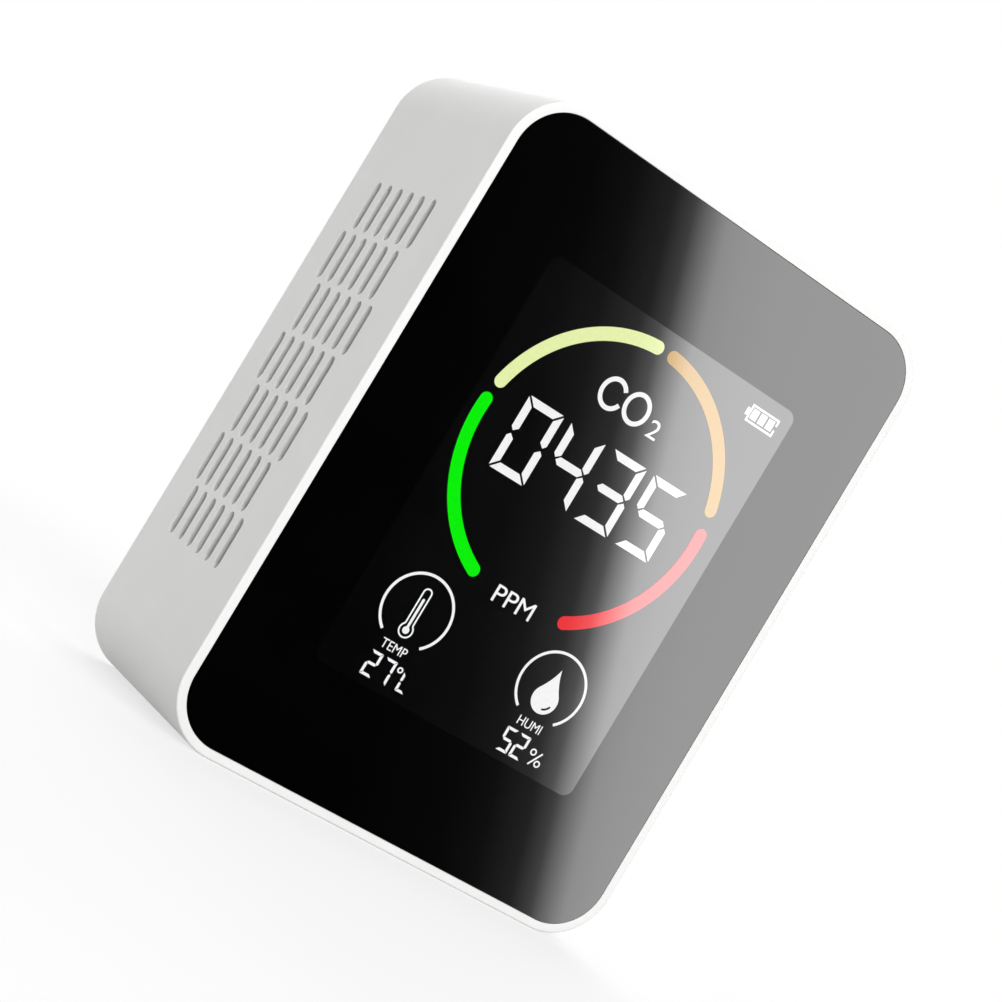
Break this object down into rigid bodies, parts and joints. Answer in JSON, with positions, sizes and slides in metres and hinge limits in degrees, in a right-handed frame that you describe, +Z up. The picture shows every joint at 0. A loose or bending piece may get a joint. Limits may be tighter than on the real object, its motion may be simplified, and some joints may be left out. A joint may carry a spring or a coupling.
{
  "type": "air quality monitor",
  "caption": "Free-standing desktop air quality monitor: white vented box with rounded corners, flush black display window, rear power inlet and sprung power button.",
  "frame": {"origin": "middle of the footprint, on the surface that the monitor stands on", "axes": "+Z up, the display window faces -Y, +X is to the right when the display is read"},
  "size_m": [0.066, 0.038, 0.089],
  "materials": {
    "white_shell": "fine satin moulded white",
    "white_part": "plain moulded white",
    "window_black": "polished acrylic, black behind",
    "black_tape": "matt black foam tape",
    "display_glass": "polished, negative display",
    "clear_acrylic": "clear polished",
    "amber_flex": "amber film",
    "green_board": "green solder resist",
    "black_part": "moulded black",
    "steel": "bright plated",
    "gold_plate": "gold plated can",
    "battery_foil": "dull foil pouch",
    "grey_cable": "flat grey cable",
    "red_lead": "red insulation",
    "black_lead": "black insulation"
  },
  "bodies": {
    "monitor": {"housing": "white_shell", "rear_cover": "white_shell", "front_panel": "window_black", "panel_tape": "black_tape", "lcd_cell": "display_glass", "lcd_tray": "white_part", "light_guide": "clear_acrylic", "backlight_strip": "amber_flex", "lcd_ribbon": "amber_flex", "ribbon_socket": "black_part", "main_board": "green_board", "microcontroller": "black_part", "board_screw_1": "steel", "board_screw_2": "steel", "board_screw_3": "steel", "board_screw_4": "steel", "co2_header_top": "black_part", "co2_header_bottom": "black_part", "co2_sensor_board": "green_board", "co2_chamber": "gold_plate", "co2_filter": "white_part", "climate_sensor": "black_part", "charger_board": "green_board", "charger_chip": "black_part", "charger_inductor": "black_part", "charger_screw_1": "steel", "charger_screw_2": "steel", "usb_socket": "steel", "usb_tongue": "black_part", "switch_body": "steel", "link_socket_main": "white_part", "link_plug_main": "white_part", "link_cable": "grey_cable", "link_plug_charger": "white_part", "link_socket_charger": "white_part", "battery_cell": "battery_foil", "battery_protection_board": "amber_flex", "battery_tape": "black_tape", "battery_socket": "white_part", "battery_plug": "white_part", "battery_lead_red": "red_lead", "battery_lead_black": "black_lead", "cover_screw_1": "steel", "cover_screw_2": "steel", "cover_screw_3": "steel", "cover_screw_4": "steel"},
    "button": {"power_button": "white_part", "switch_plunger": "black_part"}
  },
  "joints": [
    {"name": "power_button_press", "type": "slide", "parent": "monitor", "child": "button", "axis": [0, -1, 0], "range_m": [0, 0.0004], "stiffness_N_per_m": 4000}
  ]
}
